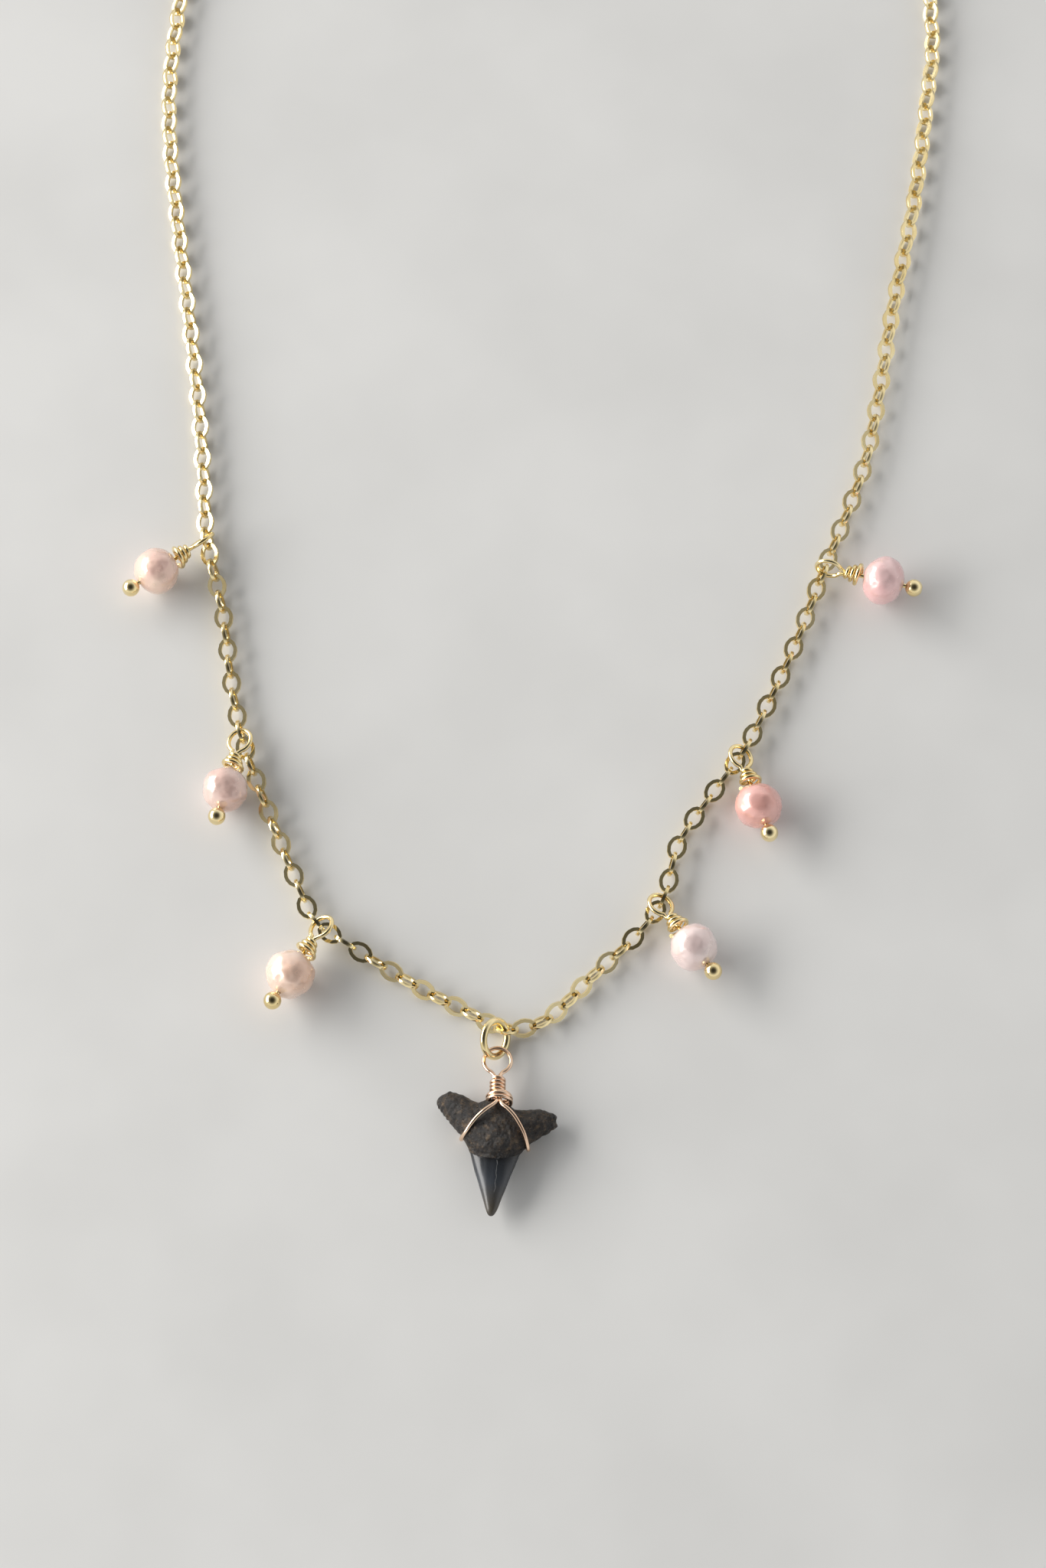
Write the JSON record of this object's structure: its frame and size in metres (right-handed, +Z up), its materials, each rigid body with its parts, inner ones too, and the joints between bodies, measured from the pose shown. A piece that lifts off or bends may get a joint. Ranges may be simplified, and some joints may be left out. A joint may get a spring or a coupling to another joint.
{
  "type": "shark tooth necklace",
  "caption": "Fine gold chain necklace lying open, with a wire wrapped shark tooth on a jump ring at the front and round pink pearls on ball head pins to both sides of it.",
  "frame": {"origin": "on the surface that the necklace lies on, inside the loop where the neck goes, a little in front of its middle", "axes": "+Z up from the surface, +Y from the tooth towards the clasp, +X to the right seen from above with the tooth nearest"},
  "size_m": [0.0919, 0.1915, 0.0053],
  "materials": {
    "gold": "polished yellow gold",
    "rose_gold": "polished rose gold wire",
    "pearl": "pearl lustre, pale pink to salmon",
    "tooth": "fossil tooth, dark pitted root and glossy slate crown"
  },
  "bodies": {
    "root": {"chain": "gold", "clasp": "gold", "jump_ring": "gold", "tooth": "tooth", "tooth_wire": "rose_gold", "pearl_1": "pearl", "pearl_2": "pearl", "pearl_3": "pearl", "pearl_4": "pearl", "pearl_5": "pearl", "pearl_6": "pearl", "pin_1": "gold", "pin_2": "gold", "pin_3": "gold", "pin_4": "gold", "pin_5": "gold", "pin_6": "gold"}
  },
  "joints": []
}
